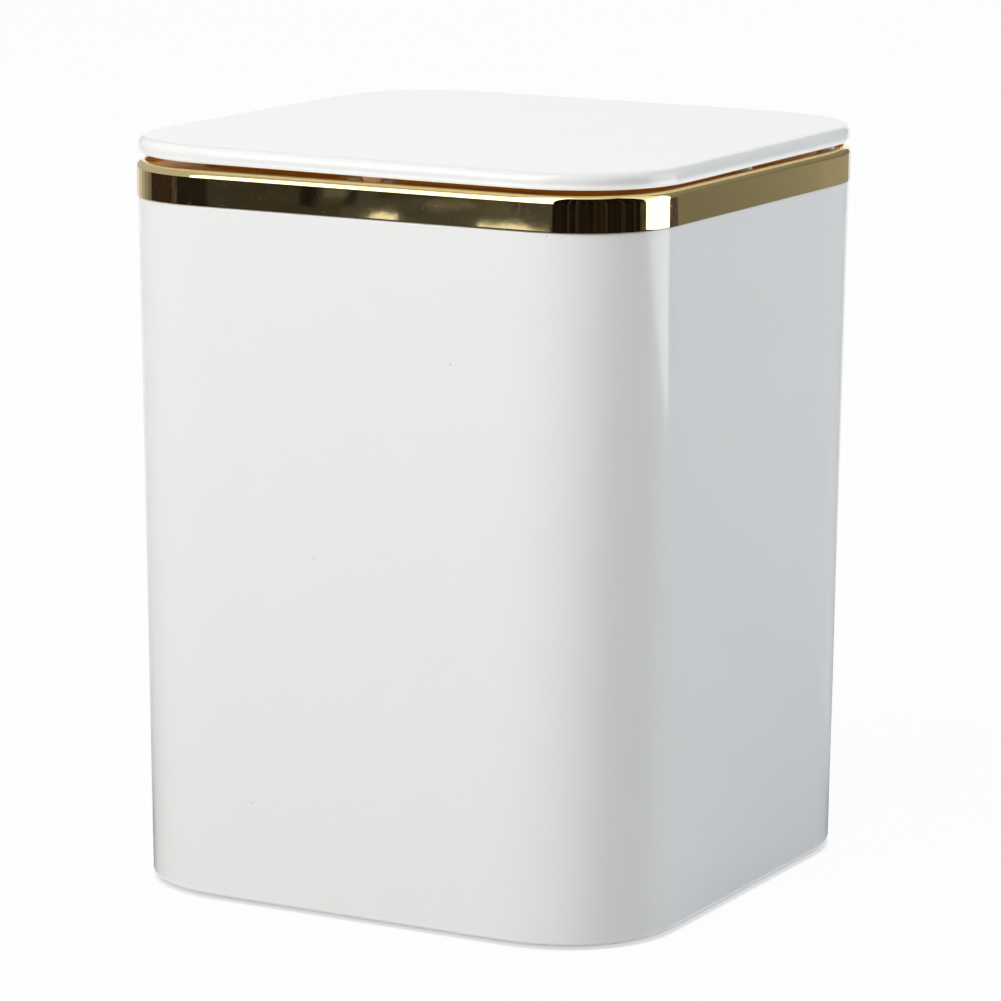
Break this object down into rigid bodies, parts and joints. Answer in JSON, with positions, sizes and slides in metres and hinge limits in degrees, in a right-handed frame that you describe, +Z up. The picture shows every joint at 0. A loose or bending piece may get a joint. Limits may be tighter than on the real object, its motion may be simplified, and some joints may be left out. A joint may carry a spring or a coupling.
{
  "type": "push top countertop bin",
  "caption": "Small rounded-square countertop bin with a plated trim ring and a floating push-to-open lid on a sprung rear hinge; the top frame lifts off to change the bag.",
  "frame": {"origin": "middle of the footprint, on the surface that the feet stand on", "axes": "+Z up, front with the latch towards -Y, hinge at +Y, +X to the right seen from the front"},
  "size_m": [0.1308, 0.1308, 0.1685],
  "materials": {
    "shell_white": "gloss white moulded plastic",
    "plated_gold": "mirror gold plating on plastic",
    "inner_white": "satin white moulded plastic",
    "latch_white": "natural white nylon",
    "latch_grey": "dark grey nylon",
    "striker_nylon": "pale natural nylon",
    "steel": "bright zinc-plated steel",
    "spring_steel": "spring steel wire",
    "foot_rubber": "soft light grey rubber",
    "bumper_clear": "soft translucent rubber"
  },
  "bodies": {
    "bin_body": {"body_shell": "shell_white", "foot_front_left": "foot_rubber", "foot_front_right": "foot_rubber", "foot_rear_left": "foot_rubber", "foot_rear_right": "foot_rubber"},
    "top_frame": {"trim_ring": "plated_gold", "inner_collar": "inner_white", "collar_screws": "steel", "latch_case": "latch_grey", "latch_cover": "latch_grey", "latch_case_screws": "steel", "latch_spring": "spring_steel", "hinge_pin_left": "steel", "hinge_pin_right": "steel", "torsion_spring_left": "spring_steel", "torsion_spring_right": "spring_steel", "bumper_left_mid": "bumper_clear", "bumper_left_rear": "bumper_clear", "bumper_right_mid": "bumper_clear", "bumper_right_rear": "bumper_clear"},
    "lid": {"lid_cover": "shell_white", "lid_inner_panel": "inner_white", "striker": "striker_nylon", "striker_screws": "steel"},
    "slider": {"latch_slider": "latch_white"},
    "jaw_left": {"latch_jaw_left": "latch_white"},
    "jaw_right": {"latch_jaw_right": "latch_white"},
    "cam_pin": {"latch_cam_pin": "spring_steel"}
  },
  "joints": [
    {"name": "top_lift", "type": "slide", "parent": "bin_body", "child": "top_frame", "axis": [0, 0, 1], "range_m": [0, 0.04]},
    {"name": "lid_hinge", "type": "hinge", "parent": "top_frame", "child": "lid", "pos_m": [0, 0.063, 0.1622], "axis": [-1, 0, 0], "range_deg": [-0.47, 88], "deforming": ["torsion_spring_left", "torsion_spring_right"]},
    {"name": "latch_slide", "type": "slide", "parent": "top_frame", "child": "slider", "axis": [0, 0, 1], "range_m": [-0.001, 0.002], "stiffness_N_per_m": 300, "deforming": ["latch_spring"]},
    {"name": "jaw_left_swing", "type": "hinge", "parent": "slider", "child": "jaw_left", "pos_m": [-0.0049, -0.057, 0.1541], "axis": [0, -1, 0], "range_deg": [-4.4, 8.8]},
    {"name": "jaw_right_swing", "type": "hinge", "parent": "slider", "child": "jaw_right", "pos_m": [0.0049, -0.057, 0.1541], "axis": [0, 1, 0], "range_deg": [-4.4, 8.8]},
    {"name": "cam_pin_swing", "type": "hinge", "parent": "top_frame", "child": "cam_pin", "pos_m": [0, -0.05425, 0.1435], "axis": [0, 1, 0], "range_deg": [-3.1, 6.1]}
  ],
  "couplings": [
    {"joint": "jaw_left_swing", "follows": "latch_slide", "rad_per_m": 75.922},
    {"joint": "jaw_right_swing", "follows": "latch_slide", "rad_per_m": 75.922},
    {"joint": "cam_pin_swing", "follows": "latch_slide", "rad_per_m": 52.36}
  ]
}
